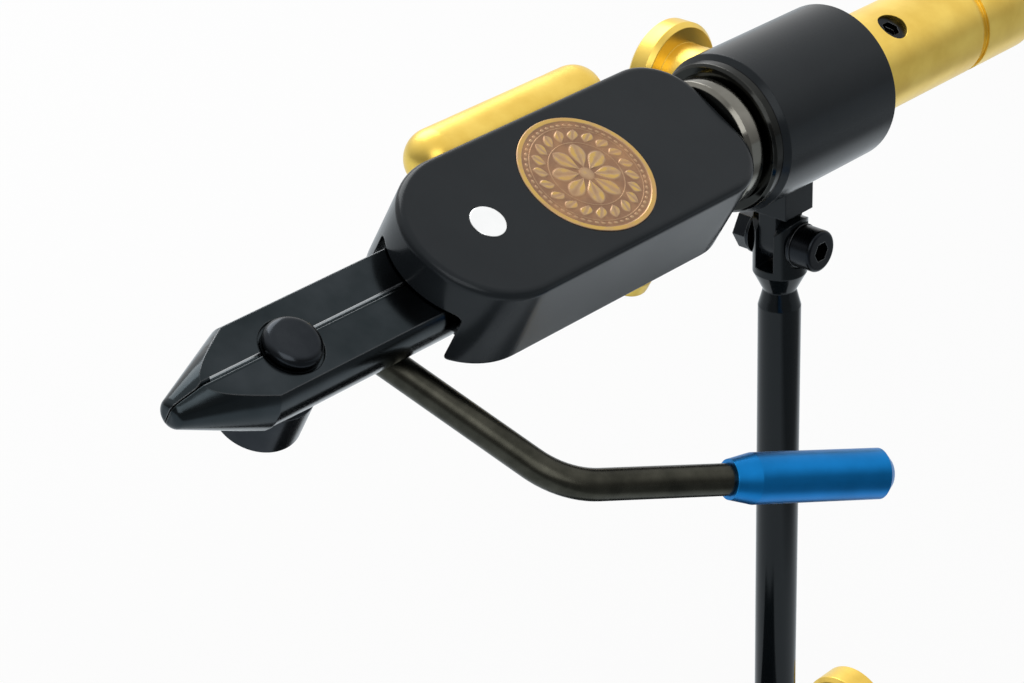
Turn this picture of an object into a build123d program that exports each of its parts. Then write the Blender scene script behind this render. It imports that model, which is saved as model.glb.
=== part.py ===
from build123d import *
import math
import os

os.makedirs("parts", exist_ok=True)

# Frame: origin on the table under the post, +Z up, +X towards the rear handle, -Y the side with the lever.
# The head has a frame of its own on the rotary axis: x as above, z square to the medallion face.

# Main axes
axis_height = 200.0
head_roll = 30.0
pivot_drop = 31.0

# Clearances
running_clearance = 0.03
slip_clearance = 0.1
face_gap = 0.4
cut_overrun = 1.0

# Post and knuckle
post_diameter = 9.525
post_bottom_height = 17.0
neck_diameter = 7.4
neck_drop = 43.0
neck_taper_length = 4.0
fork_diameter = 12.0
fork_taper_length = 4.5
fork_crown_radius = 6.2
tongue_thickness = 4.6
tongue_radius = 4.6
fork_slot_floor_gap = 1.2
knuckle_bolt_diameter = 5.0
knuckle_head_diameter = 9.4
knuckle_head_height = 5.2
knuckle_head_edge = 0.8
knuckle_socket_across = 4.0
knuckle_socket_depth = 2.8
knuckle_washer_diameter = 9.8
knuckle_washer_thickness = 0.8
knuckle_nut_across = 8.0
knuckle_nut_height = 3.6
saddle_length = 9.4
saddle_width = 10.0
saddle_drop = 24.0

# Barrel, shaft and rear handle
barrel_diameter = 34.6
barrel_front = -20.0
barrel_rear = 18.0
barrel_edge_chamfer = 1.2
shaft_diameter = 12.0
shaft_block_depth = 20.0
shaft_handle_depth = 30.0
bush_diameter = 17.0
front_bush_sleeve_length = 12.0
front_bush_flange_diameter = 32.4
front_bush_flange_thickness = 2.6
front_bush_edge_chamfer = 0.6
rear_bush_length = 6.0
collar_diameter = 28.0
collar_edge_chamfer = 0.8
handle_diameter = 22.9
handle_length = 64.0
handle_end_radius = 5.0
handle_front_chamfer = 0.6
handle_groove_offset = 39.2
handle_groove_width = 2.4
handle_groove_depth = 0.8
handle_screw_offset = 12.8
handle_screw_diameter = 7.0
handle_screw_length = 4.4
shaft_screw_diameter = 4.0
grub_socket_share = 0.5
grub_socket_depth = 1.5

# Drag screw on the far side of the barrel
drag_x = -1.7
drag_thread_diameter = 6.0
drag_pad_length = 2.5
drag_neck_length = 1.4
drag_hub_diameter = 16.0
drag_hub_length = 7.5
drag_disc_diameter = 24.6
drag_disc_length = 5.8
drag_disc_chamfer = 1.0

# Head block
block_width = 35.8
block_top = 11.6
block_thickness = 21.0
block_rear = -28.0
block_rear_radius = 12.0
block_top_radius = 1.6
block_bottom_radius = 1.0
pin_x = -96.5
pin_diameter = 7.4
pin_stand = 0.15
medallion_x = -68.5
medallion_diameter = 29.2
medallion_thickness = 2.2
medallion_stand = 0.2

# Jaws
jaw_axis_z = -2.3
jaw_bar_diameter = 20.2
jaw_flat_height = 5.25
jaw_tip_x = -171.6
jaw_tip_diameter = 5.0
jaw_tip_radius = 1.9
jaw_cone_length = 17.8
jaw_split = 0.3
jaw_split_chamfer = 0.6
jaw_eye_diameter = 16.4
jaw_eye_gap = 0.3
jaw_tail_step_x = -107.0
jaw_tail_floor_rise = 2.2
slot_side_gap = 1.5
slot_corner_radius = 1.6
slot_lip_radius = 1.8
slot_open_length = 12.0
spring_strip = 0.8
spring_arm_length = 9.0
spring_gap = 0.35

# Cam bolt, knob and lever
cam_x = -144.0
cam_half_length = 5.2
cam_half_width = 2.6
cam_pocket_gap = 0.12
button_diameter = 11.6
button_forward = 0.6
button_offset = 0.9
button_height = 3.1
button_shoulder_radius = 2.0
button_seat_depth = 0.8
button_seat_gap = 0.3
button_side_gap = 0.55
cam_spigot_diameter = 10.0
knob_diameter = 17.4
knob_top_gap = 0.6
knob_height = 12.0
knob_chamfer = 1.2
lever_diameter = 6.35
lever_drop = 13.1
lever_overhang = 8.0
lever_reach = 25.3
lever_out_angle = 73.6
lever_out_length = 46.2
lever_back_angle = 26.2
lever_back_length = 71.6
lever_first_radius = 6.5
lever_second_radius = 17.0
grip_diameter = 10.2
grip_length = 36.0
grip_front_diameter = 8.0
grip_front_length = 5.0
grip_end_chamfer = 1.8
grip_cap_length = 3.0
lever_screw_diameter = 4.0

# Counterweight bar and tension screw
weight_diameter = 12.7
weight_front = -91.7
weight_rear = -38.8
weight_z = 1.35
weight_seat_depth = 2.0
weight_screw_diameter = 4.0
weight_screw_spacing = 28.0
weight_screw_reach = 6.0
weight_screw_head_diameter = 7.0
weight_screw_head_height = 3.0
weight_screw_recess = 1.4
weight_socket_share = 0.45
weight_socket_depth_share = 0.6
tension_x = -56.0
tension_y = -12.0
tension_head_diameter = 11.0
tension_head_height = 4.4
tension_head_chamfer = 0.7
tension_thread_diameter = 5.0
tension_thread_length = 6.0

# Base
pad_thickness = 2.5
pad_inset = 2.0
plate_front = -112.0
plate_rear = 34.0
plate_width = 96.0
plate_thickness = 12.0
plate_corner_radius = 10.0
plate_edge_radius = 1.5
socket_diameter = 25.0
socket_height = 27.0
socket_top_chamfer = 1.5
socket_screw_diameter = 4.0
socket_screw_circle = 17.5
socket_screw_count = 3
socket_screw_reach = 8.0
socket_screw_head_diameter = 7.0
socket_screw_head_height = 4.0
lock_height = 31.4
lock_thread_diameter = 6.0
lock_pad_length = 2.5
lock_neck_length = 9.0
lock_hub_diameter = 9.6
lock_hub_length = 3.0
lock_disc_diameter = 19.0
lock_disc_length = 8.0
lock_disc_chamfer = 1.0

# Values that follow from the ones above
low = (Align.CENTER, Align.CENTER, Align.MIN)
HEAD = Pos(0, 0, axis_height) * Rot(head_roll, 0, 0)
post_radius = post_diameter / 2
barrel_radius = barrel_diameter / 2
shaft_radius = shaft_diameter / 2
bush_radius = bush_diameter / 2
block_half = block_width / 2
block_bottom = block_top - block_thickness
jaw_radius = jaw_bar_diameter / 2
jaw_top = jaw_axis_z + jaw_flat_height
jaw_bottom = jaw_axis_z - jaw_flat_height
jaw_tail_floor = jaw_bottom + jaw_tail_floor_rise
slot_half = jaw_radius + slot_side_gap
slot_top = jaw_top + face_gap
slot_floor = jaw_tail_floor - face_gap
pin_radius = pin_diameter / 2
eye_radius = jaw_eye_diameter / 2
shaft_front = block_rear - shaft_block_depth
handle_front = barrel_rear + face_gap
handle_rear = handle_front + handle_length
shaft_rear = handle_front + shaft_handle_depth
flange_rear = barrel_front
flange_front = flange_rear - front_bush_flange_thickness
collar_rear = flange_front - face_gap
lever_z = -lever_drop
lever_end_x = cam_x - lever_overhang
lever_bend_x = cam_x + lever_reach
lever_radius = lever_diameter / 2
knob_top = jaw_bottom - knob_top_gap
knob_bottom = knob_top - knob_height
plate_top = pad_thickness + plate_thickness
socket_top = plate_top + socket_height
pivot_height = axis_height - pivot_drop


def along_x(radius, x0, x1, y=0.0, z=0.0):
    return Pos(x0, y, z) * Rot(0, 90, 0) * Cylinder(radius, x1 - x0, align=low)


def along_y(radius, y0, y1, x=0.0, z=0.0):
    return Pos(x, y0, z) * Rot(-90, 0, 0) * Cylinder(radius, y1 - y0, align=low)


def along_z(radius, z0, z1, x=0.0, y=0.0):
    return Pos(x, y, z0) * Cylinder(radius, z1 - z0, align=low)


def slab(x0, x1, y0, y1, z0, z1):
    middle = Pos((x0 + x1) / 2, (y0 + y1) / 2, (z0 + z1) / 2)
    return middle * Box(x1 - x0, y1 - y0, z1 - z0)


def turned(points, axis_place):
    """Solid of revolution: points are (radius, height) pairs along the +Z of axis_place."""
    outline = [(r, 0, h) for r, h in points]
    face = make_face(Polyline(*outline, close=True))
    return axis_place * revolve(face, Axis.Z)


def hexagon(across, z0, z1, place):
    flat = RegularPolygon(across / 2, 6, major_radius=False)
    return place * (Pos(0, 0, z0) * extrude(flat, amount=z1 - z0))


def save(name, shape):
    shape.label = name
    export_step(shape, f"parts/{name}.step")


# Base: plate on a soft pad, with the socket that takes the post
def base_plate():
    length = plate_rear - plate_front
    outline = RectangleRounded(length, plate_width, plate_corner_radius)
    plate = Pos((plate_front + plate_rear) / 2, 0, pad_thickness) * extrude(outline, amount=plate_thickness)
    rim = plate.faces().sort_by(Axis.Z)[-1].edges()
    plate = fillet(rim, plate_edge_radius)
    for x, y in socket_screw_places():
        head_top = pad_thickness + socket_screw_head_height
        plate -= along_z(socket_screw_diameter / 2, 0, plate_top + cut_overrun, x, y)
        plate -= along_z(socket_screw_head_diameter / 2 + slip_clearance, 0, head_top, x, y)
    return plate


def socket_screw_places():
    for step in range(socket_screw_count):
        turn = math.radians(180 + 360 * step / socket_screw_count)
        ring = socket_screw_circle / 2
        yield ring * math.cos(turn), ring * math.sin(turn)


def base_pad():
    length = plate_rear - plate_front - 2 * pad_inset
    outline = RectangleRounded(length, plate_width - 2 * pad_inset, plate_corner_radius - pad_inset)
    return Pos((plate_front + plate_rear) / 2, 0, 0) * extrude(outline, amount=pad_thickness)


def stem_socket():
    socket = along_z(socket_diameter / 2, plate_top, socket_top)
    socket = chamfer(socket.faces().sort_by(Axis.Z)[-1].edges(), socket_top_chamfer)
    socket -= along_z(post_radius + running_clearance, plate_top - cut_overrun, socket_top + cut_overrun)
    socket -= along_x(lock_thread_diameter / 2, 0, socket_diameter, 0, lock_height)
    for x, y in socket_screw_places():
        reach = plate_top + socket_screw_reach
        socket -= along_z(socket_screw_diameter / 2, plate_top - cut_overrun, reach, x, y)
    return socket


def socket_screws():
    screws = []
    for x, y in socket_screw_places():
        head_top = pad_thickness + socket_screw_head_height
        shank = along_z(socket_screw_diameter / 2, pad_thickness, plate_top + socket_screw_reach, x, y)
        screws.append(shank + along_z(socket_screw_head_diameter / 2, pad_thickness, head_top, x, y))
    return screws


def thumbscrew(thread_radius, start, surface, neck, hub_radius, hub, disc_radius, disc, edge):
    """Stepped thumbscrew along +Z: thread from start, then neck, hub and disc beyond the surface."""
    hub_start = surface + neck
    disc_start = hub_start + hub
    end = disc_start + disc
    points = [(0, start), (thread_radius, start), (thread_radius, hub_start), (hub_radius, hub_start),
              (hub_radius, disc_start), (disc_radius - edge, disc_start), (disc_radius, disc_start + edge),
              (disc_radius, end - edge), (disc_radius - edge, end), (0, end)]
    return turned(points, Pos(0, 0, 0))


def stem_lock_pad():
    start = post_radius + slip_clearance
    return along_x(lock_thread_diameter / 2, start, start + lock_pad_length, 0, lock_height)


def stem_lock_screw():
    start = post_radius + slip_clearance + lock_pad_length + slip_clearance
    thread = lock_thread_diameter / 2 - running_clearance
    screw = thumbscrew(thread, start, socket_diameter / 2, lock_neck_length, lock_hub_diameter / 2,
                       lock_hub_length, lock_disc_diameter / 2, lock_disc_length, lock_disc_chamfer)
    return Pos(0, 0, lock_height) * Rot(0, 90, 0) * screw


# Post: round bar, waisted neck, and a fork that holds the tongue of the barrel
def stem_post():
    neck_height = axis_height - neck_drop
    fork_radius = fork_diameter / 2
    neck_radius = neck_diameter / 2
    crown = pivot_height + fork_crown_radius
    points = [(0, post_bottom_height), (post_radius, post_bottom_height),
              (post_radius, neck_height - neck_taper_length), (neck_radius, neck_height),
              (fork_radius, neck_height + fork_taper_length), (fork_radius, crown), (0, crown)]
    post = turned(points, Pos(0, 0, 0))
    reach = fork_radius + cut_overrun
    lower = slab(-reach, reach, -reach, reach, 0, pivot_height)
    post = post & (along_y(fork_crown_radius, -reach, reach, 0, pivot_height) + lower)
    half_slot = tongue_thickness / 2 + slip_clearance
    floor = pivot_height - tongue_radius - fork_slot_floor_gap
    post -= slab(-reach, reach, -half_slot, half_slot, floor, crown + cut_overrun)
    post -= along_y(knuckle_bolt_diameter / 2 + running_clearance, -reach, reach, 0, pivot_height)
    for side in (-1, 1):
        near, far = sorted((side * fork_seat(), side * reach))
        spot = along_y(knuckle_washer_diameter / 2 + face_gap, near, far, 0, pivot_height)
        post -= spot
    return post


def fork_seat():
    """Distance of the flat bolt seats of the fork from its middle plane."""
    return fork_diameter / 2 - knuckle_washer_thickness


def knuckle_bolt():
    seat = fork_seat() + knuckle_washer_thickness
    end = seat + knuckle_nut_height + knuckle_washer_thickness
    bolt = along_z(knuckle_bolt_diameter / 2, -end, seat)
    bolt += along_z(knuckle_head_diameter / 2, seat, seat + knuckle_head_height)
    top = bolt.faces().sort_by(Axis.Z)[-1]
    bolt = fillet(top.edges(), knuckle_head_edge)
    depth = seat + knuckle_head_height - knuckle_socket_depth
    bolt -= hexagon(knuckle_socket_across, depth, depth + knuckle_socket_depth + cut_overrun, Pos(0, 0, 0))
    return Pos(0, 0, pivot_height) * Rot(90, 0, 0) * bolt


def knuckle_washers():
    rings = []
    bore = knuckle_bolt_diameter / 2 + slip_clearance
    hole = along_y(bore, -fork_diameter, fork_diameter, 0, pivot_height)
    for start in (fork_seat(), -fork_seat() - knuckle_washer_thickness):
        end = start + knuckle_washer_thickness
        rings.append(along_y(knuckle_washer_diameter / 2, start, end, 0, pivot_height) - hole)
    return rings


def knuckle_nut():
    seat = fork_seat() + knuckle_washer_thickness
    nut = hexagon(knuckle_nut_across, seat, seat + knuckle_nut_height, Pos(0, 0, 0))
    nut -= along_z(knuckle_bolt_diameter / 2, seat - cut_overrun, seat + knuckle_nut_height + cut_overrun)
    return Pos(0, 0, pivot_height) * Rot(-90, 0, 0) * nut


# Barrel: housing of the rotary shaft, with the tilting tongue and the drag screw
def barrel_housing():
    barrel = along_x(barrel_radius, barrel_front, barrel_rear, 0, axis_height)
    ends = barrel.edges().filter_by(GeomType.CIRCLE)
    barrel = chamfer(ends, barrel_edge_chamfer)
    half = saddle_length / 2
    saddle = slab(-half, half, -saddle_width / 2, saddle_width / 2, axis_height - saddle_drop, axis_height)
    side = tongue_thickness / 2
    tongue = slab(-tongue_radius, tongue_radius, -side, side, pivot_height, axis_height)
    tongue += along_y(tongue_radius, -side, side, 0, pivot_height)
    barrel = barrel + saddle + tongue
    bolt_bore = knuckle_bolt_diameter / 2 + running_clearance
    barrel -= along_y(bolt_bore, -saddle_width, saddle_width, 0, pivot_height)
    barrel -= along_x(bush_radius, barrel_front - cut_overrun, barrel_rear + cut_overrun, 0, axis_height)
    barrel -= along_y(drag_thread_diameter / 2, 0, barrel_diameter, drag_x, axis_height)
    return barrel


def front_bush():
    bore = shaft_radius + running_clearance
    flange = front_bush_flange_diameter / 2
    edge = front_bush_edge_chamfer
    sleeve_end = flange_rear + front_bush_sleeve_length
    points = [(bore, flange_front), (flange - edge, flange_front), (flange, flange_front + edge),
              (flange, flange_rear), (bush_radius, flange_rear), (bush_radius, sleeve_end),
              (bore, sleeve_end)]
    return turned(points, Pos(0, 0, axis_height) * Rot(0, 90, 0))


def rear_bush():
    start = barrel_rear - rear_bush_length
    bore = shaft_radius + running_clearance
    ring = along_x(bush_radius, start, barrel_rear, 0, axis_height)
    return ring - along_x(bore, start - cut_overrun, barrel_rear + cut_overrun, 0, axis_height)


def drag_pad():
    start = shaft_radius + slip_clearance
    return along_y(drag_thread_diameter / 2, start, start + drag_pad_length, drag_x, axis_height)


def drag_screw():
    start = shaft_radius + slip_clearance + drag_pad_length + slip_clearance
    thread = drag_thread_diameter / 2 - running_clearance
    screw = thumbscrew(thread, start, barrel_radius, drag_neck_length, drag_hub_diameter / 2,
                       drag_hub_length, drag_disc_diameter / 2, drag_disc_length, drag_disc_chamfer)
    return Pos(drag_x, 0, axis_height) * Rot(-90, 0, 0) * screw


# Rotary shaft, collar and rear handle
def rotary_shaft():
    return HEAD * along_x(shaft_radius, shaft_front, shaft_rear)


def thrust_collar():
    outer = collar_diameter / 2
    edge = collar_edge_chamfer
    points = [(shaft_radius, block_rear), (outer - edge, block_rear), (outer, block_rear + edge),
              (outer, collar_rear - edge), (outer - edge, collar_rear), (shaft_radius, collar_rear)]
    return HEAD * turned(points, Rot(0, 90, 0))


def rear_handle():
    outer = handle_diameter / 2
    groove = handle_front + handle_groove_offset
    handle = along_x(outer, handle_front, handle_rear)
    handle = fillet(handle.faces().sort_by(Axis.X)[-1].edges(), handle_end_radius)
    handle = chamfer(handle.faces().sort_by(Axis.X)[0].edges(), handle_front_chamfer)
    ring = along_x(outer + cut_overrun, groove, groove + handle_groove_width)
    handle -= ring - along_x(outer - handle_groove_depth, groove, groove + handle_groove_width)
    handle -= along_x(shaft_radius, handle_front - cut_overrun, shaft_rear)
    handle -= along_z(handle_screw_diameter / 2, 0, handle_diameter, handle_front + handle_screw_offset)
    return HEAD * handle


def grub_screw(radius, length):
    """Headless screw along +Z from zero, with a hexagon socket in its outer end."""
    screw = along_z(radius, 0, length)
    across = 2 * radius * grub_socket_share
    return screw - hexagon(across, length - grub_socket_depth, length + cut_overrun, Pos(0, 0, 0))


def handle_set_screw():
    screw = grub_screw(handle_screw_diameter / 2, handle_screw_length)
    return HEAD * Pos(handle_front + handle_screw_offset, 0, shaft_radius) * screw


# Head block
def block_outline():
    nose = pin_x
    corner = block_rear - block_rear_radius
    inner = block_half - block_rear_radius
    lines = [Line((nose, block_half), (corner, block_half)),
             RadiusArc((corner, block_half), (block_rear, inner), block_rear_radius),
             Line((block_rear, inner), (block_rear, -inner)),
             RadiusArc((block_rear, -inner), (corner, -block_half), block_rear_radius),
             Line((corner, -block_half), (nose, -block_half)),
             ThreePointArc((nose, -block_half), (nose - block_half, 0), (nose, block_half))]
    return make_face(lines)


def spring_outer():
    """Outer radius of the hairpin spring, which lies round the jaw eyes."""
    return jaw_radius + spring_gap + spring_strip


def slot_face():
    """Mouth of the jaw slot seen along the axis: round inner corners, and rounded lips at the bottom."""
    turn = math.sqrt(0.5)
    below = block_bottom - cut_overrun
    lip = slot_half + slot_lip_radius
    lip_top = block_bottom + slot_lip_radius
    lip_mid = (lip - slot_lip_radius * turn, lip_top - slot_lip_radius * turn)
    shoulder = slot_top - slot_corner_radius
    inner = slot_half - slot_corner_radius
    corner_mid = (inner + slot_corner_radius * turn, shoulder + slot_corner_radius * turn)
    lines = [Line((0, -lip, below), (0, lip, below)), Line((0, -inner, slot_top), (0, inner, slot_top))]
    for side in (-1, 1):
        lines.append(Line((0, side * lip, below), (0, side * lip, block_bottom)))
        lines.append(ThreePointArc((0, side * lip, block_bottom), (0, side * lip_mid[0], lip_mid[1]),
                                   (0, side * slot_half, lip_top)))
        lines.append(Line((0, side * slot_half, lip_top), (0, side * slot_half, shoulder)))
        lines.append(ThreePointArc((0, side * slot_half, shoulder),
                                   (0, side * corner_mid[0], corner_mid[1]),
                                   (0, side * inner, slot_top)))
    return make_face(lines)


def head_block():
    block = Pos(0, 0, block_bottom) * extrude(block_outline(), amount=block_thickness)
    block = fillet(block.faces().sort_by(Axis.Z)[-1].edges(), block_top_radius)
    block = fillet(block.faces().sort_by(Axis.Z)[0].edges(), block_bottom_radius)
    nose = pin_x - block_half
    open_end = nose + slot_open_length
    below = block_bottom - cut_overrun
    block -= Pos(nose - cut_overrun, 0, 0) * extrude(slot_face(), amount=open_end - nose, dir=(1, 0, 0))
    pocket = spring_outer() + face_gap
    block -= slab(pin_x - spring_arm_length - face_gap, pin_x, -pocket, pocket, slot_floor, slot_top)
    block -= slab(open_end, pin_x, -slot_half, slot_half, slot_floor, slot_top)
    block -= along_z(pocket, slot_floor, slot_top, pin_x)
    block -= along_z(pin_radius, below, block_top + cut_overrun, pin_x)
    medallion_floor = block_top - medallion_thickness
    block -= along_z(medallion_diameter / 2, medallion_floor, block_top + cut_overrun, medallion_x)
    block -= along_x(shaft_radius, shaft_front, block_rear + cut_overrun)
    seat_ends = (weight_front - cut_overrun, weight_rear + cut_overrun)
    block -= along_x(weight_diameter / 2, *seat_ends, weight_y(), weight_z)
    for x in weight_screw_places():
        reach = block_half - weight_seat_depth - weight_screw_reach
        block -= along_y(weight_screw_diameter / 2, reach, block_width, x, weight_z)
    block -= along_z(tension_thread_diameter / 2, below, tension_top(), tension_x, tension_y)
    block -= along_z(shaft_screw_diameter / 2, below, 0, shaft_screw_x())
    return HEAD * block


def shaft_screw_x():
    return block_rear - shaft_block_depth / 2


def shaft_set_screw():
    screw = grub_screw(shaft_screw_diameter / 2, -shaft_radius - block_bottom)
    return HEAD * Pos(shaft_screw_x(), 0, -shaft_radius) * Rot(180, 0, 0) * screw


def medallion():
    start = block_top - medallion_thickness
    return HEAD * along_z(medallion_diameter / 2, start, block_top + medallion_stand, medallion_x)


def jaw_hinge_pin():
    return HEAD * along_z(pin_radius, block_bottom, block_top + pin_stand, pin_x)


def jaw_spring():
    outer = spring_outer()
    inner = outer - spring_strip
    tip = pin_x - spring_arm_length
    ring = along_z(outer, jaw_tail_floor, jaw_top, pin_x) - along_z(inner, jaw_tail_floor, jaw_top, pin_x)
    ring &= slab(pin_x, pin_x + outer, -outer, outer, jaw_tail_floor, jaw_top)
    for side in (-1, 1):
        near, far = sorted((side * inner, side * outer))
        ring += slab(tip, pin_x, near, far, jaw_tail_floor, jaw_top)
    return HEAD * ring


# Counterweight bar on the far side of the block, and the screws that hold it
def weight_y():
    return block_half - weight_seat_depth + weight_diameter / 2


def weight_screw_places():
    middle = (weight_front + weight_rear) / 2
    return (middle - weight_screw_spacing / 2, middle + weight_screw_spacing / 2)


def weight_screw_ends():
    inner = block_half - weight_seat_depth - weight_screw_reach
    outer = weight_y() + weight_diameter / 2 - weight_screw_recess
    return inner, outer


def counterweight_bar():
    radius = weight_diameter / 2
    bar = along_x(radius, weight_front + radius, weight_rear - radius, weight_y(), weight_z)
    for x in (weight_front + radius, weight_rear - radius):
        bar += Pos(x, weight_y(), weight_z) * Sphere(radius)
    outer = weight_screw_ends()[1]
    head = outer - weight_screw_head_height
    for x in weight_screw_places():
        bar -= along_y(weight_screw_diameter / 2, 0, block_width, x, weight_z)
        bar -= along_y(weight_screw_head_diameter / 2 + slip_clearance, head, outer + radius, x, weight_z)
    return HEAD * bar


def counterweight_screws():
    screws = []
    inner, outer = weight_screw_ends()
    head = outer - weight_screw_head_height
    floor = outer - weight_screw_head_height * weight_socket_depth_share
    across = weight_screw_head_diameter * weight_socket_share
    for x in weight_screw_places():
        screw = along_y(weight_screw_diameter / 2, inner, outer, x, weight_z)
        screw += along_y(weight_screw_head_diameter / 2, head, outer, x, weight_z)
        screw -= hexagon(across, floor, outer + cut_overrun, Pos(x, 0, weight_z) * Rot(-90, 0, 0))
        screws.append(HEAD * screw)
    return screws


def tension_top():
    return block_bottom + tension_thread_length


def tension_screw():
    radius = tension_head_diameter / 2
    edge = tension_head_chamfer
    bottom = block_bottom - tension_head_height
    thread = tension_thread_diameter / 2
    top = tension_top()
    points = [(0, bottom), (radius - edge, bottom), (radius, bottom + edge),
              (radius, block_bottom - edge), (radius - edge, block_bottom), (thread, block_bottom),
              (thread, top), (0, top)]
    return HEAD * turned(points, Pos(tension_x, tension_y, 0))


# Jaws: one split round bar with a conical nose, each half with an eye on the hinge pin
def jaw_bar():
    cone_start = jaw_tip_x + jaw_cone_length
    tip = jaw_tip_diameter / 2
    points = [(0, jaw_tip_x), (tip, jaw_tip_x), (jaw_radius, cone_start), (jaw_radius, pin_x), (0, pin_x)]
    bar = turned(points, Pos(0, 0, jaw_axis_z) * Rot(0, 90, 0))
    bar = fillet(bar.faces().sort_by(Axis.X)[0].edges(), jaw_tip_radius)
    bar &= slab(jaw_tip_x, pin_x, -jaw_radius, jaw_radius, jaw_bottom, jaw_top)
    tail = slab(jaw_tail_step_x, pin_x, -jaw_radius, jaw_radius, jaw_bottom, jaw_tail_floor)
    return bar - tail


def split_bevel():
    """Ridge that bevels the top edge of the far half along the split."""
    half = jaw_split / 2 + jaw_split_chamfer
    rise = [(0, -half, jaw_top), (0, half, jaw_top), (0, 0, jaw_top - half)]
    face = make_face(Polyline(*rise, close=True))
    return Pos(jaw_tip_x - cut_overrun, 0, 0) * extrude(face, amount=pin_x - jaw_tip_x, dir=(1, 0, 0))


def jaw_half(side, eye_low, eye_high):
    """side -1 is the near half, +1 the far one; the eye lies between the two heights."""
    inner, outer = sorted((side * jaw_split / 2, side * jaw_radius))
    root = pin_x - eye_radius - jaw_eye_gap
    half = jaw_bar() & slab(jaw_tip_x, root, inner, outer, jaw_bottom, jaw_top)
    if side > 0:
        half -= split_bevel()
    neck = jaw_bar() & slab(root, pin_x, inner, outer, eye_low, eye_high)
    eye = along_z(eye_radius, eye_low, eye_high, pin_x)
    jaw = half + neck + eye
    jaw -= along_z(pin_radius + running_clearance, jaw_bottom, jaw_top + cut_overrun, pin_x)
    pocket = cam_half_width + cam_pocket_gap
    ends = cam_half_length + cam_pocket_gap
    above = jaw_top + cut_overrun
    jaw -= slab(cam_x - ends, cam_x + ends, -pocket, pocket, jaw_bottom - cut_overrun, above)
    seat = button_diameter / 2 + button_side_gap
    jaw -= along_z(seat, jaw_top - button_seat_depth, above, cam_x - button_forward, -button_offset)
    return HEAD * jaw


def eye_levels():
    middle = (jaw_tail_floor + jaw_top) / 2
    return jaw_tail_floor, middle - jaw_eye_gap / 2, middle + jaw_eye_gap / 2, jaw_top


def jaw_near():
    return jaw_half(-1, *eye_levels()[:2])


def jaw_far():
    return jaw_half(1, *eye_levels()[2:])


# Cam bolt, knob and lever
def lever_bore(radius):
    return along_x(radius, lever_end_x - knob_diameter, cam_x + knob_diameter, 0, lever_z)


def cam_bolt():
    seat = jaw_top - button_seat_depth + button_seat_gap
    crown = seat + button_height
    radius = button_diameter / 2
    bolt = along_z(radius, seat, crown)
    bolt = fillet(bolt.faces().sort_by(Axis.Z)[-1].edges(), button_shoulder_radius)
    bolt = Pos(-button_forward, -button_offset, 0) * bolt
    cam = extrude(Ellipse(cam_half_length, cam_half_width), amount=seat - knob_top)
    bolt += Pos(0, 0, knob_top) * cam
    bolt += along_z(cam_spigot_diameter / 2, knob_bottom + knob_chamfer, knob_top)
    bolt = Pos(cam_x, 0, 0) * bolt
    bolt -= lever_bore(lever_radius)
    bolt -= along_z(lever_screw_diameter / 2, knob_bottom, lever_z, cam_x)
    return HEAD * bolt


def cam_knob():
    outer = knob_diameter / 2
    bore = cam_spigot_diameter / 2
    edge = knob_chamfer
    points = [(bore, knob_bottom), (outer - edge, knob_bottom), (outer, knob_bottom + edge),
              (outer, knob_top - edge), (outer - edge, knob_top), (bore, knob_top)]
    knob = turned(points, Pos(cam_x, 0, 0))
    return HEAD * (knob - lever_bore(lever_radius))


def lever_points():
    out = math.radians(lever_out_angle)
    back = math.radians(lever_back_angle)
    first = Vector(lever_bend_x, 0, lever_z)
    second = first + Vector(math.cos(out), -math.sin(out), 0) * lever_out_length
    end = second + Vector(math.cos(back), -math.sin(back), 0) * lever_back_length
    return Vector(lever_end_x, 0, lever_z), first, second, end


def lever_end_place():
    """Place at the end of the lever, +Z along the lever."""
    start, first, second, end = lever_points()
    return Plane(origin=end, z_dir=end - second).location


def lever_rod():
    start, first, second, end = lever_points()
    stop = end - (end - second).normalized() * grip_cap_length
    middle = (first + second) / 2
    inner = FilletPolyline(start, first, middle, radius=lever_first_radius)
    outer = FilletPolyline(middle, second, stop, radius=lever_second_radius)
    section = Plane(origin=start, z_dir=(1, 0, 0)) * Circle(lever_radius)
    return HEAD * sweep(section, path=Wire(inner.edges() + outer.edges()))


def lever_grip():
    outer = grip_diameter / 2
    front = -grip_length
    taper = front + grip_front_length
    bore = lever_radius
    points = [(bore, front), (grip_front_diameter / 2, front), (outer, taper), (outer, 0), (0, 0),
              (0, -grip_cap_length), (bore, -grip_cap_length)]
    grip = turned(points, Pos(0, 0, 0))
    grip = chamfer(grip.faces().sort_by(Axis.Z)[-1].edges(), grip_end_chamfer)
    return HEAD * (lever_end_place() * grip)


def lever_set_screw():
    top = lever_z - lever_radius
    screw = grub_screw(lever_screw_diameter / 2, top - knob_bottom - knob_chamfer)
    return HEAD * Pos(cam_x, 0, top) * Rot(180, 0, 0) * screw


single_pieces = (base_pad, base_plate, stem_socket, stem_lock_pad, stem_lock_screw, stem_post,
                 knuckle_bolt, knuckle_nut, barrel_housing, front_bush, rear_bush, drag_pad, drag_screw,
                 rotary_shaft, thrust_collar, rear_handle, handle_set_screw, head_block,
                 shaft_set_screw, medallion, jaw_hinge_pin, jaw_spring, counterweight_bar,
                 tension_screw, jaw_near, jaw_far, cam_bolt, cam_knob, lever_rod, lever_grip,
                 lever_set_screw)
grouped_pieces = (socket_screws, knuckle_washers, counterweight_screws)

for make in single_pieces:
    save(make.__name__, make())
for make in grouped_pieces:
    save(make.__name__, Compound(children=make()))
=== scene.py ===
import math

import bpy
from mathutils import Matrix, Vector

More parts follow.
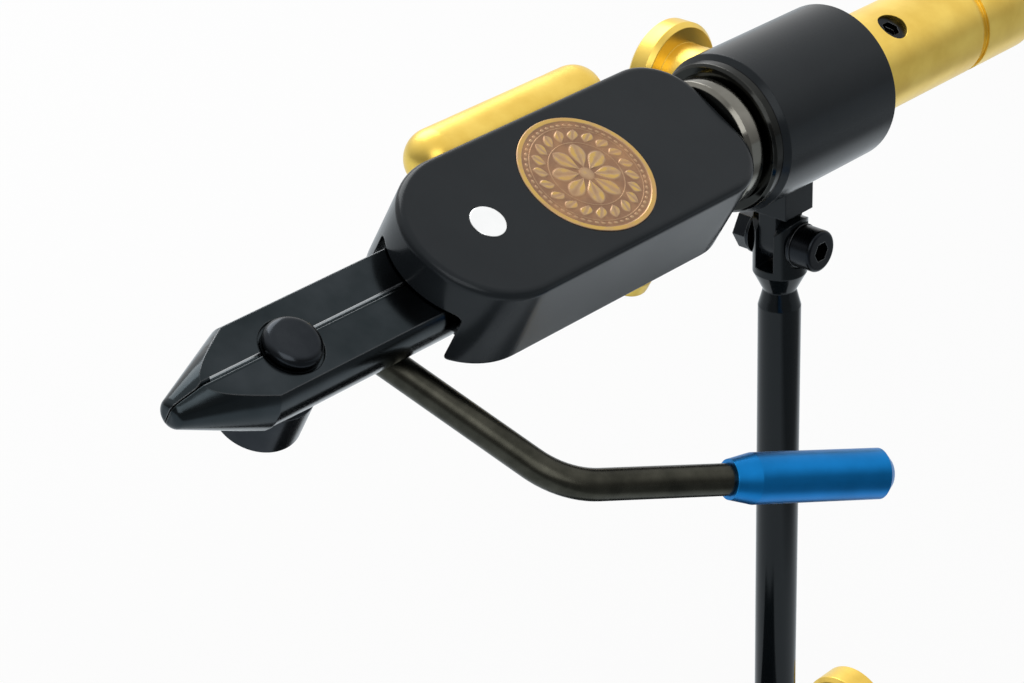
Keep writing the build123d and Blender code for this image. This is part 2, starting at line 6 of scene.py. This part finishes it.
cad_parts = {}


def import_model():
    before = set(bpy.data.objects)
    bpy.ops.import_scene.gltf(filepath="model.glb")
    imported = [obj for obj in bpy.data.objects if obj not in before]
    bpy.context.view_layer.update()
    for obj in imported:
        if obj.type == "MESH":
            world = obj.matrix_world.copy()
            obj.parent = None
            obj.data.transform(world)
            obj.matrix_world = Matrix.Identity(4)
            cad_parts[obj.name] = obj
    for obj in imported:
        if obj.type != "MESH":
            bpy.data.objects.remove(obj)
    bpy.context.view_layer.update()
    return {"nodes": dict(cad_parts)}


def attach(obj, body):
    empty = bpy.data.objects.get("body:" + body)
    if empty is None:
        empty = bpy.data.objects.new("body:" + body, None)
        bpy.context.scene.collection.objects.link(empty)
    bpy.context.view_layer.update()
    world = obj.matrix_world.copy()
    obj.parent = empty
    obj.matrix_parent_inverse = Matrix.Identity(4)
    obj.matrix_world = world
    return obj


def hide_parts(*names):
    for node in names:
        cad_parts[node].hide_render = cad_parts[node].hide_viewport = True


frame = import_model()
cad = frame["nodes"]

# The head's own frame: x along the rotary axis, z square to the medallion face. Lengths are in metres.
AXIS_HEIGHT = 0.200
HEAD_ROLL = math.radians(30.0)
HEAD = Matrix.Translation((0, 0, AXIS_HEIGHT)) @ Matrix.Rotation(HEAD_ROLL, 4, "X")
HEAD_TURN = HEAD.to_3x3()
GRIP_TURN = math.radians(26.2)
ALONG_X = (1.0, 0.0, 0.0)
ALONG_Y = (0.0, 1.0, 0.0)
ALONG_N = tuple(HEAD_TURN @ Vector((0, 0, 1)))
ACROSS_HEAD = tuple(HEAD_TURN @ Vector((0, 1, 0)))
ALONG_GRIP = tuple(HEAD_TURN @ Vector((math.cos(GRIP_TURN), -math.sin(GRIP_TURN), 0)))

# Noise keeps mostly between these two values.
NOISE_LOW = 0.3
NOISE_HIGH = 0.7
NOISE_DETAIL = 3.0
NOISE_ROUGH = 0.55
FINE_DETAIL = 2.0
RICH_DETAIL = 4.0
LINE_ROUGH = 0.7
EDGE_SAMPLES = 6

# Cosine between the rounded normal and the face's own, where an edge is fully lightened and where it is
# not; the lighter edge is partly rubbed wear and partly a painted edge highlight.
EDGE_WEAR_HIGHLIGHT_FULL = 0.89
EDGE_WEAR_HIGHLIGHT_NONE = 0.985


# Shader helpers
def add(tree, kind, settings=None, inputs=None):
    """A shader node with its settings, and with its inputs set to values or linked to sockets."""
    made = tree.nodes.new(kind)
    for key, value in (settings or {}).items():
        setattr(made, key, value)
    for key, value in (inputs or {}).items():
        if isinstance(value, bpy.types.NodeSocket):
            tree.links.new(value, made.inputs[key])
        else:
            made.inputs[key].default_value = value
    return made


def bare_tree(owner):
    """The emptied node tree of a material or a world."""
    owner.use_nodes = True
    owner.node_tree.nodes.clear()
    return owner.node_tree


def object_place(tree):
    return add(tree, "ShaderNodeTexCoord").outputs["Object"]


def new_material(name):
    material = bpy.data.materials.new(name)
    tree = bare_tree(material)
    shader = add(tree, "ShaderNodeBsdfPrincipled")
    add(tree, "ShaderNodeOutputMaterial", inputs={"Surface": shader.outputs["BSDF"]})
    return material, tree, shader, object_place(tree)


def wire(tree, shader, base, rough, normal):
    """Link colour, roughness and normal to a shader."""
    for name, socket in (("Base Color", base), ("Roughness", rough), ("Normal", normal)):
        tree.links.new(socket, shader.inputs[name])


def maths(tree, operation, *values):
    made = add(tree, "ShaderNodeMath", {"operation": operation}, dict(enumerate(values)))
    return made.outputs["Value"]


def dot(tree, first, second):
    """Dot product, which is the distance along second where that is an axis."""
    made = add(tree, "ShaderNodeVectorMath", {"operation": "DOT_PRODUCT"}, {0: first, 1: second})
    return made.outputs["Value"]


def noise(tree, place, scale, detail=NOISE_DETAIL):
    made = add(tree, "ShaderNodeTexNoise", inputs={
        "Vector": place, "Scale": scale, "Detail": detail, "Roughness": NOISE_ROUGH})
    return made.outputs["Fac"]


def lathe_lines(tree, place, axis, scale):
    """Noise that changes along an axis alone: the fine rings that turning leaves."""
    made = add(tree, "ShaderNodeTexNoise", {"noise_dimensions": "1D"}, {
        "W": dot(tree, place, axis), "Scale": scale, "Detail": RICH_DETAIL, "Roughness": LINE_ROUGH})
    return made.outputs["Fac"]


def mapped(tree, value, low, high, start=NOISE_LOW, end=NOISE_HIGH):
    made = add(tree, "ShaderNodeMapRange", inputs={
        "Value": value, "From Min": start, "From Max": end, "To Min": low, "To Max": high})
    return made.outputs["Result"]


def ramp(tree, value, stops):
    made = add(tree, "ShaderNodeValToRGB", inputs={"Fac": value})
    elements = made.color_ramp.elements
    while len(elements) < len(stops):
        elements.new(1.0)
    for element, (position, colour) in zip(elements, stops):
        element.position = position
        element.color = (*colour, 1.0)
    return made.outputs["Color"]


def clouded(tree, place, scale, dark, light):
    """A slow change between two tones."""
    return ramp(tree, noise(tree, place, scale), ((NOISE_LOW, dark), (NOISE_HIGH, light)))


def bump(tree, height, strength, distance, normal=None):
    inputs = {"Height": height, "Strength": strength, "Distance": distance}
    if normal is not None:
        inputs["Normal"] = normal
    return add(tree, "ShaderNodeBump", inputs=inputs).outputs["Normal"]


def soft_edges(tree, radius):
    made = add(tree, "ShaderNodeBevel", {"samples": EDGE_SAMPLES}, {"Radius": radius})
    return made.outputs["Normal"]


def edge_wear_and_highlight(tree, rounded, amount):
    """Where the rounded normal leaves the face's own: 0 on a face, up to amount on an edge, which is
    made lighter as partly rubbed wear and partly a painted edge highlight.
    """
    face = add(tree, "ShaderNodeNewGeometry").outputs["Normal"]
    return mapped(tree, dot(tree, rounded, face), amount, 0.0, EDGE_WEAR_HIGHLIGHT_FULL, EDGE_WEAR_HIGHLIGHT_NONE)


def mixed(tree, factor, first, second):
    made = add(tree, "ShaderNodeMix", {"data_type": "RGBA"}, {0: factor})
    for index, colour in ((6, first), (7, second)):
        if isinstance(colour, bpy.types.NodeSocket):
            tree.links.new(colour, made.inputs[index])
        else:
            made.inputs[index].default_value = (*colour, 1.0)
    return made.outputs[2]


def within(tree, place, axis, middle, half):
    """1 where the distance along an axis is within half of the middle, otherwise 0."""
    return maths(tree, "COMPARE", dot(tree, place, axis), middle, half)


# Materials
FINE_DEPTH = 0.00002
ENAMEL_CLOUD = 70.0
ENAMEL_GLOSS_CLOUD = 45.0
ENAMEL_TOOTH = 5200.0
ENAMEL_TOOTH_STRENGTH = 0.10
ENAMEL_EDGE = 0.0004
# The enamel's lighter edges: partly rubbed wear, partly a painted edge highlight.
ENAMEL_EDGE_WEAR_AND_HIGHLIGHT = 0.25
ENAMEL_WORN_AND_LIT_EDGE = (0.03, 0.033, 0.036)
ENAMEL_TINT = (0.90, 0.96, 1.0, 1.0)
# How much lighter metal edges get: partly rubbed wear, partly a painted edge highlight.
METAL_EDGE_WEAR_AND_HIGHLIGHT = 0.8
RUBBER_DARK = (0.018, 0.018, 0.018)
RUBBER_LIGHT = (0.03, 0.03, 0.03)
RUBBER_CLOUD = 60.0
RUBBER_GRAIN = 2600.0
RUBBER_GRAIN_STRENGTH = 0.5
RUBBER_GRAIN_DEPTH = 0.00006
RUBBER_ROUGH = (0.7, 0.9)


def enamel(name, dark, light, specular, rough):
    """Satin black finish: faint cloud in the black, fine tooth, edges a little lighter as partly rubbed
    wear and partly a painted edge highlight.
    """
    material, tree, shader, place = new_material(name)
    rounded = soft_edges(tree, ENAMEL_EDGE)
    base = mixed(tree, edge_wear_and_highlight(tree, rounded, ENAMEL_EDGE_WEAR_AND_HIGHLIGHT),
                 clouded(tree, place, ENAMEL_CLOUD, dark, light), ENAMEL_WORN_AND_LIT_EDGE)
    tooth = noise(tree, place, ENAMEL_TOOTH, FINE_DETAIL)
    wire(tree, shader, base, mapped(tree, noise(tree, place, ENAMEL_GLOSS_CLOUD), *rough),
         bump(tree, tooth, ENAMEL_TOOTH_STRENGTH, FINE_DEPTH, rounded))
    shader.inputs["Specular IOR Level"].default_value = specular
    shader.inputs["Specular Tint"].default_value = ENAMEL_TINT
    return material


def metal(name, dark, light, rough, axis=None, grain_scale=5000.0, grain_strength=0.12, edge=0.0003,
          worn_and_lit_edge=None, cloud_scale=120.0, stripes=()):
    """Metal with a slow change of tone, lathe rings along its axis, softened edges that are lighter as
    partly rubbed wear and partly a painted edge highlight, and stripes.
    """
    material, tree, shader, place = new_material(name)
    base = clouded(tree, place, cloud_scale, dark, light)
    rounded = soft_edges(tree, edge)
    if worn_and_lit_edge is not None:
        base = mixed(tree, edge_wear_and_highlight(tree, rounded, METAL_EDGE_WEAR_AND_HIGHLIGHT), base, worn_and_lit_edge)
    for colour, limits in stripes:
        inside = 1.0
        for limit in limits:
            inside = maths(tree, "MULTIPLY", inside, within(tree, place, *limit))
        base = mixed(tree, inside, base, colour)
    if axis is None:
        grain = noise(tree, place, grain_scale, FINE_DETAIL)
    else:
        grain = lathe_lines(tree, place, axis, grain_scale)
    wire(tree, shader, base, mapped(tree, grain, *rough),
         bump(tree, grain, grain_strength, FINE_DEPTH, rounded))
    shader.inputs["Metallic"].default_value = 1.0
    return material


def brass(name, axis):
    return metal(name, (0.80, 0.54, 0.10), (0.93, 0.67, 0.15), (0.28, 0.40), axis,
                 grain_scale=9000.0, grain_strength=0.10)


def rubber(name):
    material, tree, shader, place = new_material(name)
    grain = noise(tree, place, RUBBER_GRAIN, RICH_DETAIL)
    wire(tree, shader, clouded(tree, place, RUBBER_CLOUD, RUBBER_DARK, RUBBER_LIGHT),
         mapped(tree, grain, *RUBBER_ROUGH),
         bump(tree, grain, RUBBER_GRAIN_STRENGTH, RUBBER_GRAIN_DEPTH))
    return material


# The split of the jaws: the far half's bevel is bare steel, partly real wear and partly a painted
# highlight, and the near half's edge beside it keeps the jaw's dark tone as painted shade along the
# split.
# A limit is an axis, the middle along it and half the width.
AXIS_ACROSS = HEAD.translation.dot(Vector(ACROSS_HEAD))
AXIS_UP = HEAD.translation.dot(Vector(ALONG_N))
SPLIT_BEVEL_BARE_AND_LIT = (
    (ACROSS_HEAD, AXIS_ACROSS + 0.00045, 0.00033),
    (ALONG_N, AXIS_UP + 0.0027, 0.0003),
    (ALONG_X, -0.132, 0.031),
)
SPLIT_EDGE_PAINTED_SHADE = ((ACROSS_HEAD, AXIS_ACROSS - 0.0003, 0.0004),)
BARE_STEEL_AND_HIGHLIGHT = (0.66, 0.68, 0.69)
JAW_DARK = (0.021, 0.027, 0.030)
JAW_LIGHT = (0.037, 0.044, 0.049)

black = enamel("black_enamel_satin", (0.0105, 0.0130, 0.0155), (0.0142, 0.0172, 0.0200),
               specular=0.20, rough=(0.18, 0.26))
post_black = enamel("black_enamel_post", (0.0020, 0.0034, 0.0044), (0.0042, 0.0060, 0.0074),
                    specular=0.27, rough=(0.07, 0.13))
# The jaws' stripes paint a highlight on the far split bevel and shade on the near half's edge.
jaw_steel = metal("blackened_jaw_steel", JAW_DARK, JAW_LIGHT, (0.12, 0.20),
                  grain_scale=6000.0, grain_strength=0.10, edge=0.0004, worn_and_lit_edge=(0.15, 0.155, 0.16),
                  cloud_scale=90.0, stripes=((BARE_STEEL_AND_HIGHLIGHT, SPLIT_BEVEL_BARE_AND_LIT), (JAW_DARK, SPLIT_EDGE_PAINTED_SHADE)))
dark_steel = metal("blackened_screw_steel", (0.014, 0.016, 0.019), (0.024, 0.027, 0.031), (0.22, 0.34),
                   ALONG_Y, grain_strength=0.2, worn_and_lit_edge=(0.10, 0.105, 0.11))
knob_steel = metal("blackened_knob_steel", (0.018, 0.021, 0.025), (0.030, 0.034, 0.039), (0.16, 0.26),
                   ALONG_N, worn_and_lit_edge=(0.16, 0.165, 0.17))
lever_steel = metal("gunmetal_lever", (0.034, 0.034, 0.027), (0.060, 0.059, 0.047), (0.24, 0.34),
                    grain_scale=9000.0, grain_strength=0.05, cloud_scale=260.0)
ring_steel = metal("polished_collar_steel", (0.16, 0.155, 0.135), (0.22, 0.213, 0.188), (0.09, 0.15),
                   ALONG_X, grain_scale=7000.0)
bush_steel = metal("blackened_bush_steel", (0.020, 0.021, 0.020), (0.032, 0.033, 0.031), (0.09, 0.15),
                   ALONG_X, grain_scale=7000.0, worn_and_lit_edge=(0.12, 0.12, 0.11))
pin_steel = metal("polished_pin_steel", (0.92, 0.93, 0.93), (0.97, 0.98, 0.98), (0.10, 0.18), ALONG_N)
plain_steel = metal("machined_steel", (0.36, 0.37, 0.38), (0.48, 0.49, 0.50), (0.25, 0.38),
                    grain_scale=4200.0)
blue = metal("blue_anodised_grip", (0.0072, 0.165, 0.45), (0.0096, 0.205, 0.56), (0.30, 0.42),
             ALONG_GRIP, grain_scale=7000.0, grain_strength=0.15, worn_and_lit_edge=(0.02, 0.24, 0.55))
brass_x = brass("brass_turned_x", ALONG_X)
brass_y = brass("brass_turned_y", ALONG_Y)
brass_n = brass("brass_turned_n", ALONG_N)
pad = rubber("pad_rubber_matt")

finishes = {
    black: ("base_plate", "stem_socket", "barrel_housing", "head_block"),
    post_black: ("stem_post",),
    jaw_steel: ("jaw_near", "jaw_far"),
    dark_steel: ("knuckle_bolt", "knuckle_nut", "knuckle_washers", "handle_set_screw"),
    knob_steel: ("cam_bolt", "cam_knob"),
    lever_steel: ("lever_rod",),
    ring_steel: ("thrust_collar", "rotary_shaft"),
    bush_steel: ("front_bush",),
    pin_steel: ("jaw_hinge_pin",),
    plain_steel: ("socket_screws", "jaw_spring", "counterweight_screws", "shaft_set_screw",
                  "lever_set_screw"),
    blue: ("lever_grip",),
    brass_x: ("counterweight_bar", "rear_handle", "rear_bush", "stem_lock_screw", "stem_lock_pad"),
    brass_y: ("drag_screw", "drag_pad"),
    brass_n: ("tension_screw",),
    pad: ("base_pad",),
}
for material, names in finishes.items():
    for name in names:
        for held in cad[name].material_slots:
            held.material = material


# Medallion: bronze disc with a gold rim, a ring of beads, a leaf border and a rosette
MEDALLION_X = -0.0685
MEDALLION_RADIUS = 0.01455
MEDALLION_TOP = 0.0118
MEDALLION_BACK = 0.0095
MEDALLION_RINGS = 150
MEDALLION_TURNS = 480
RELIEF = 0.00018
EDGE_START = 0.985
EDGE_FALL = 0.4

# The relief: places and lengths are shares of the radius, half turns are shares of one part's turn, and
# heights are shares of RELIEF.
RIM = (0.915, 0.94)
BEAD_COUNT = 56
BEAD_RING = 0.865
BEAD_HALF_LENGTH = 0.024
BEAD_HALF_TURN = 0.36
BEAD_HEIGHT = 0.7
LINES = ((0.815, 0.825), (0.545, 0.555))
LINE_SOFT = 0.006
LINE_HEIGHT = 0.6
LEAF_COUNT = 20
LEAF_START = 0.575
LEAF_LENGTH = 0.22
LEAF_MIDDLE = 0.685
LEAF_SLANT = 1.6
LEAF = {"half_turn": 0.40, "blunt": 1.0, "soft": (-0.04, 0.10), "height": 0.55, "swell": 0.35,
        "vein": (0.02, 0.16)}
PETAL_COUNT = 8
PETAL_START = 0.10
PETAL_LENGTH = 0.43
PETAL = {"half_turn": 0.46, "blunt": 0.7, "soft": (-0.05, 0.12), "height": 0.5, "swell": 0.4,
         "vein": (0.0, 0.2)}
BOSS_RADIUS = 0.115
BOSS_HEIGHT = 0.85

BRONZE_TONES = (
    (0.0, (0.27, 0.155, 0.095)),
    (0.35, (0.36, 0.225, 0.135)),
    (0.75, (0.46, 0.31, 0.180)),
    (0.97, (0.58, 0.38, 0.110)),
)
BRONZE_ROUGH = (0.44, 0.32)
BRONZE_STAIN = 420.0
BRONZE_STAIN_SHARE = 0.34
BRONZE_GRAIN = 5200.0
BRONZE_GRAIN_STRENGTH = 0.2
BRONZE_GRAIN_DEPTH = 0.00003
PATINA = (0.50, 0.275, 0.135)
PATINA_SCALE = 150.0
PATINA_MOST = 0.55
PATINA_RANGE = (0.45, 0.75)


def clamped(value):
    return min(1.0, max(0.0, value))


def step(value, start, end):
    share = clamped((value - start) / (end - start))
    return share * share * (3 - 2 * share)


def band(value, low, high, soft):
    return step(value, low - soft, low + soft) * (1 - step(value, high - soft, high + soft))


def dome(off):
    """A half ball: 1 at its middle, 0 from off = 1 on."""
    return math.sqrt(max(0.0, 1 - off * off))


def off_middle(turn, count, shift=0.0):
    """How far a turn is from the middle of its part, with count parts in a full turn."""
    return abs((turn * count / (2 * math.pi) + shift) % 1.0 - 0.5)


def lobe(along, off, half_turn, blunt, soft, height, swell, vein):
    """A leaf or petal: along it from 0 to 1, and off its middle line, where the vein is."""
    half = half_turn * math.sin(math.pi * clamped(along)) ** blunt
    return step(half - off, *soft) * (height + swell * step(off, *vein))


def relief(share, turn):
    """Height from 0, the field, to 1, the rim, at a share of the radius and an angle."""
    rim = step(share, *RIM)
    bead_off = off_middle(turn, BEAD_COUNT)
    beads = BEAD_HEIGHT * dome(math.hypot((share - BEAD_RING) / BEAD_HALF_LENGTH,
                                          bead_off / BEAD_HALF_TURN))
    lines = LINE_HEIGHT * sum(band(share, low, high, LINE_SOFT) for low, high in LINES)
    slant = LEAF_SLANT * (share - LEAF_MIDDLE)
    leaf = lobe((share - LEAF_START) / LEAF_LENGTH, off_middle(turn, LEAF_COUNT, slant), **LEAF)
    petal = lobe((share - PETAL_START) / PETAL_LENGTH, off_middle(turn, PETAL_COUNT), **PETAL)
    boss = BOSS_HEIGHT * dome(share / BOSS_RADIUS)
    return max(rim, beads, lines, leaf, petal, boss)


def medallion_mesh():
    """The disc from its middle outwards ring by ring, then its wall and its flat back."""
    turns = MEDALLION_TURNS
    angles = [2 * math.pi * index / turns for index in range(turns)]

    def point(share, turn, z):
        radius = MEDALLION_RADIUS * share
        return HEAD @ Vector((MEDALLION_X + radius * math.cos(turn), radius * math.sin(turn), z))

    heights = [relief(0.0, 0.0)]
    verts = [point(0.0, 0.0, MEDALLION_TOP - RELIEF * (1 - heights[0]))]
    for ring in range(1, MEDALLION_RINGS + 1):
        share = ring / MEDALLION_RINGS
        for turn in angles:
            if share < EDGE_START:
                height = relief(share, turn)
            else:
                height = 1 - EDGE_FALL * (share - EDGE_START) / (1 - EDGE_START)
            verts.append(point(share, turn, MEDALLION_TOP - RELIEF * (1 - height)))
            heights.append(height)
    back = len(verts)
    verts += [point(1.0, turn, MEDALLION_BACK) for turn in angles]
    heights += [1.0] * turns

    faces = [(0, 1 + i, 1 + (i + 1) % turns) for i in range(turns)]
    for inner in range(1, back, turns):
        outer = inner + turns
        for i in range(turns):
            after = (i + 1) % turns
            faces.append((inner + i, outer + i, outer + after, inner + after))
    faces.append(tuple(back + i for i in reversed(range(turns))))

    mesh = bpy.data.meshes.new("medallion_relief")
    mesh.from_pydata(verts, [], faces)
    attribute = mesh.attributes.new("relief_height", "FLOAT", "POINT")
    attribute.data.foreach_set("value", heights)
    mesh.update()
    for polygon in mesh.polygons:
        polygon.use_smooth = len(polygon.vertices) < 5
    return mesh


def medallion_bronze():
    """Bronze that is brown in the hollows and rubbed gold on the high parts."""
    material, tree, shader, place = new_material("bronze_medallion")
    height = add(tree, "ShaderNodeAttribute", {"attribute_name": "relief_height"}).outputs["Fac"]
    stain = mapped(tree, noise(tree, place, BRONZE_STAIN, RICH_DETAIL), -0.5, 0.5)
    base = ramp(tree, maths(tree, "MULTIPLY_ADD", stain, BRONZE_STAIN_SHARE, height), BRONZE_TONES)
    patina = mapped(tree, noise(tree, place, PATINA_SCALE, FINE_DETAIL), 0.0, PATINA_MOST, *PATINA_RANGE)
    grain = noise(tree, place, BRONZE_GRAIN)
    wire(tree, shader, mixed(tree, patina, base, PATINA), mapped(tree, height, *BRONZE_ROUGH, 0.0, 1.0),
         bump(tree, grain, BRONZE_GRAIN_STRENGTH, BRONZE_GRAIN_DEPTH))
    shader.inputs["Metallic"].default_value = 1.0
    return material


medal = bpy.data.objects.new("medallion_rosette", medallion_mesh())
bpy.context.scene.collection.objects.link(medal)
medal.data.materials.append(medallion_bronze())
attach(medal, "head")
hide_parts("medallion")


# Floor, world and lamps
FLOOR_HALF = 6.0
FLOOR_DROP = 0.0002
FLOOR_CLOUD = 3.0
FLOOR_WHITE = (0.93, 0.93, 0.93)
FLOOR_WHITER = (0.95, 0.95, 0.95)
FLOOR_GLOW_SHARE = 0.86
# The floor's glow is white to the camera and a little cool in reflections.
FLOOR_COOL = (0.88, 0.95, 1.0)
FLOOR_SEEN = (1.0, 1.0, 1.0)
# In reflections the floor's glow is a painted pool of light: it falls off to POOL_DIM on the near side,
# and comes up again towards the rear.
POOL_SIDE = (0.3, -0.95, 0.0)
POOL_START = 0.12
POOL_END = 0.20
POOL_DIM = 0.20
POOL_AGAIN = 0.20
POOL_FAR = 0.32
POOL_FAR_LIGHT = 0.55
# In reflections the studio is white towards STUDIO_TOP and falls off to STUDIO_DIM away from it.
STUDIO_TOP = (0.42, 0.32, 0.85)
STUDIO_DIM = 0.25
STUDIO_START = 0.0
STUDIO_END = 0.60
STUDIO_WHITE = (1.0, 1.0, 1.0, 1.0)
WORLD_LIGHT = 0.50
HEAD_MIDDLE = (-0.07, 0.0, 0.18)


def shown_to_eye(tree, path):
    """1 for rays from the camera and for what gloss and glass show, 0 for the light itself."""
    gloss = maths(tree, "MAXIMUM", path["Is Camera Ray"], path["Is Glossy Ray"])
    return maths(tree, "MAXIMUM", gloss, path["Is Transmission Ray"])


def floor():
    mesh = bpy.data.meshes.new("floor")
    corners = ((-1, -1), (1, -1), (1, 1), (-1, 1))
    verts = [(x * FLOOR_HALF, y * FLOOR_HALF, -FLOOR_DROP) for x, y in corners]
    mesh.from_pydata(verts, [], [(0, 1, 2, 3)])
    made = bpy.data.objects.new("floor", mesh)
    bpy.context.scene.collection.objects.link(made)
    material = bpy.data.materials.new("floor_white")
    tree = bare_tree(material)
    place = object_place(tree)
    path = add(tree, "ShaderNodeLightPath").outputs
    tone = clouded(tree, place, FLOOR_CLOUD, FLOOR_WHITE, FLOOR_WHITER)
    matt = add(tree, "ShaderNodeBsdfDiffuse", inputs={"Color": tone}).outputs["BSDF"]
    near = mapped(tree, dot(tree, place, POOL_SIDE), 1.0, POOL_DIM, POOL_START, POOL_END)
    far = mapped(tree, dot(tree, place, ALONG_X), 0.0, POOL_FAR_LIGHT, POOL_AGAIN, POOL_FAR)
    lit = maths(tree, "MAXIMUM", maths(tree, "MAXIMUM", near, far), path["Is Camera Ray"])
    tint = mixed(tree, path["Is Camera Ray"], FLOOR_COOL, FLOOR_SEEN)
    glow = add(tree, "ShaderNodeEmission", inputs={"Color": tint, "Strength": lit}).outputs["Emission"]
    share = maths(tree, "MULTIPLY", shown_to_eye(tree, path), FLOOR_GLOW_SHARE)
    both = add(tree, "ShaderNodeMixShader", inputs={"Fac": share, 1: matt, 2: glow})
    add(tree, "ShaderNodeOutputMaterial", inputs={"Surface": both.outputs["Shader"]})
    material.cycles.emission_sampling = "NONE"
    mesh.materials.append(material)


def world():
    made = bpy.data.worlds.new("studio")
    bpy.context.scene.world = made
    tree = bare_tree(made)
    made.cycles.sampling_method = "NONE"
    looking = add(tree, "ShaderNodeTexCoord").outputs["Generated"]
    path = add(tree, "ShaderNodeLightPath").outputs
    studio = mapped(tree, dot(tree, looking, STUDIO_TOP), STUDIO_DIM, 1.0, STUDIO_START, STUDIO_END)
    seen = maths(tree, "MAXIMUM", studio, path["Is Camera Ray"])
    share = mapped(tree, shown_to_eye(tree, path), WORLD_LIGHT, 1.0, 0.0, 1.0)
    glow = add(tree, "ShaderNodeBackground", inputs={
        "Color": STUDIO_WHITE, "Strength": maths(tree, "MULTIPLY", seen, share)})
    add(tree, "ShaderNodeOutputWorld", inputs={"Surface": glow.outputs["Background"]})


def softbox(name, place, size, power):
    """A square lamp that faces the head."""
    lamp = bpy.data.lights.new(name, "AREA")
    lamp.shape = "SQUARE"
    lamp.size = size
    lamp.energy = power
    made = bpy.data.objects.new(name, lamp)
    made.location = place
    made.rotation_euler = (Vector(HEAD_MIDDLE) - Vector(place)).to_track_quat("-Z", "Y").to_euler()
    bpy.context.scene.collection.objects.link(made)


floor()
world()
softbox("key_softbox", (0.25, 0.75, 1.00), size=0.80, power=7.0)
softbox("fill_softbox", (-0.75, -0.85, 0.95), size=0.9, power=5.0)

# Camera, as the photograph stands to the part
CAMERA_PLACE = (-0.45545, -0.35430, 0.44582)
CAMERA_FORWARD = Vector((0.64051, 0.61273, -0.46293))
CAMERA_UP = Vector((0.35893, 0.29406, 0.88583))
CAMERA_CLIP = 0.01
SENSOR_WIDTH = 36.0
IMAGE_WIDTH = 1024
FOCAL_PIXELS = 2943.35
lens = bpy.data.cameras.new("photo_camera")
lens.sensor_width = SENSOR_WIDTH
lens.lens = FOCAL_PIXELS * SENSOR_WIDTH / IMAGE_WIDTH
lens.clip_start = CAMERA_CLIP
camera = bpy.data.objects.new("photo_camera", lens)
back = -CAMERA_FORWARD.normalized()
right = CAMERA_UP.cross(back).normalized()
up = back.cross(right)
camera.matrix_world = Matrix.Translation(CAMERA_PLACE) @ Matrix((right, up, back)).transposed().to_4x4()
bpy.context.scene.collection.objects.link(camera)
bpy.context.scene.camera = camera
bpy.context.scene.view_settings.view_transform = "Standard"
